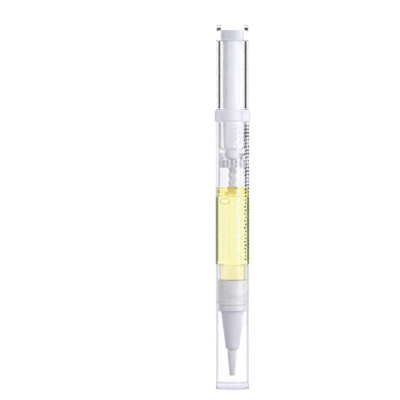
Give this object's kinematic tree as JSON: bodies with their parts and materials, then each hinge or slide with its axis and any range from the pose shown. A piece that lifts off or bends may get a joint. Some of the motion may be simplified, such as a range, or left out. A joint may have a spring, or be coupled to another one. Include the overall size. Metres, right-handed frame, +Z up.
{
  "type": "nail oil pen",
  "caption": "Slim clear twist-up pen of nail oil with a tapered brush, a see-through cap and knob, and a screw-fed piston.",
  "frame": {"origin": "centre of the cap's flat foot, on the surface that the pen stands on", "axes": "+Z up along the pen's axis, from the cap to the knob; the picture looks along +Y"},
  "size_m": [0.0138, 0.0138, 0.141],
  "materials": {
    "clear_plastic": "clear moulded styrene acrylonitrile, polished",
    "milky_plastic": "translucent moulded polypropylene",
    "white_plastic": "white moulded polypropylene, satin",
    "grey_plastic": "pale grey moulded acetal",
    "nail_oil": "pale yellow clear oil",
    "bristle": "fine nylon bristles"
  },
  "bodies": {
    "cap": {"cap_shell": "clear_plastic"},
    "barrel": {"barrel_tube": "clear_plastic", "guide_bush": "clear_plastic", "feed_nut": "grey_plastic", "neck_plug": "milky_plastic", "nozzle_collar": "milky_plastic", "nozzle_cone": "white_plastic", "feed_tube": "milky_plastic", "brush_tuft": "bristle", "oil_reservoir": "nail_oil", "oil_neck": "nail_oil"},
    "knob": {"knob_shell": "clear_plastic", "drive_tube": "white_plastic", "click_ring": "grey_plastic"},
    "rod": {"screw_rod": "white_plastic"},
    "piston": {"piston": "milky_plastic"}
  },
  "joints": [
    {"name": "cap_pull", "type": "slide", "parent": "cap", "child": "barrel", "axis": [0, 0, 1], "range_m": [0, 0.05]},
    {"name": "knob_twist", "type": "hinge", "parent": "barrel", "child": "knob", "pos_m": [0, 0, 0.1082], "axis": [0, 0, -1], "range_deg": [0, 2880], "deforming": ["click_ring"]},
    {"name": "rod_feed", "type": "slide", "parent": "knob", "child": "rod", "axis": [0, 0, -1], "range_m": [0, 0.02401]},
    {"name": "piston_feed", "type": "slide", "parent": "barrel", "child": "piston", "axis": [0, 0, -1], "range_m": [0, 0.02401], "deforming": ["oil_reservoir"]}
  ],
  "couplings": [
    {"joint": "rod_feed", "follows": "knob_twist", "m_per_rad": 0.00047746},
    {"joint": "piston_feed", "follows": "knob_twist", "m_per_rad": 0.00047746}
  ]
}
